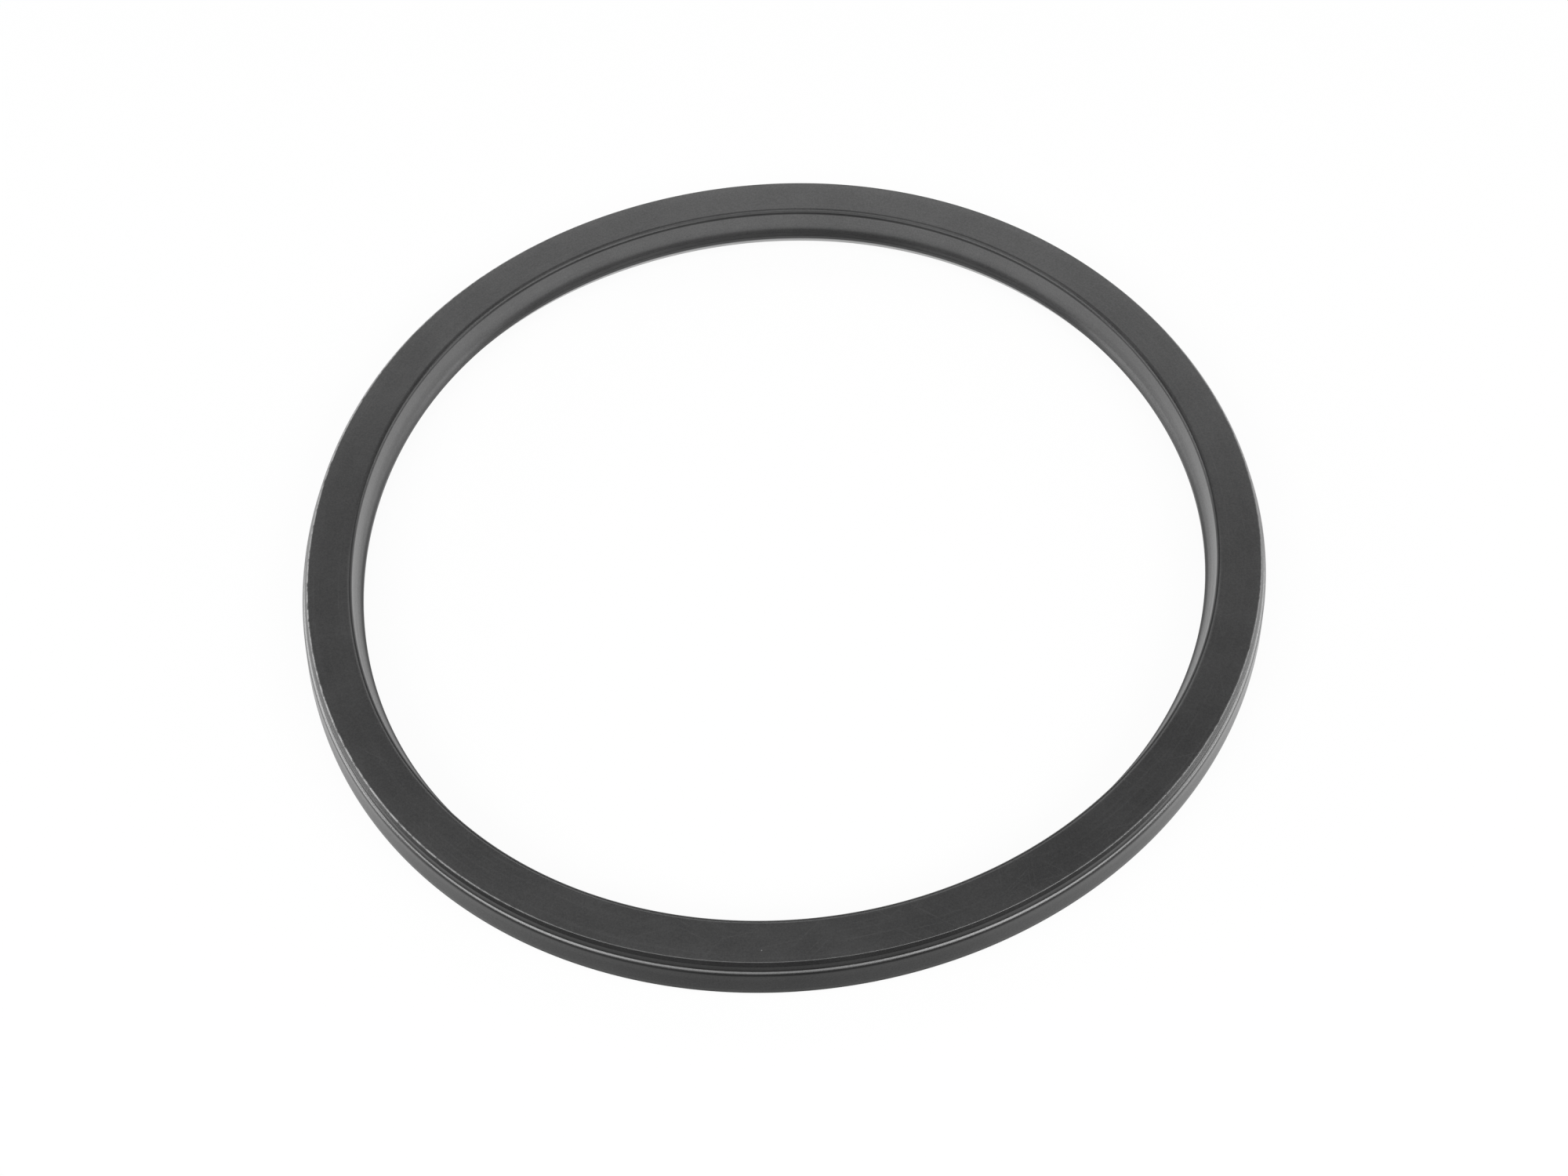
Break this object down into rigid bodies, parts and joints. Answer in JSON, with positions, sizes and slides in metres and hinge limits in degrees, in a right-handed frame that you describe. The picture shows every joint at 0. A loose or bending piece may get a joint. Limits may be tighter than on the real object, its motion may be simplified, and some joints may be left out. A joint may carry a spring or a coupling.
{
  "type": "sealing ring",
  "caption": "Flat moulded rubber sealing ring with a rounded mouth, an inner wall that slopes in to a narrow land, and an outer wall with a bevelled rim, a neck and a convex lip above a land near its foot.",
  "frame": {"origin": "centre of the ring on its underside, the plane it rests on", "axes": "+Z along the ring's axis, from the underside towards the flat top face with the rounded mouth"},
  "size_m": [0.13, 0.13, 0.0065],
  "materials": {
    "rubber": "satin"
  },
  "bodies": {
    "root": {"sealing_ring": "rubber"}
  },
  "joints": []
}
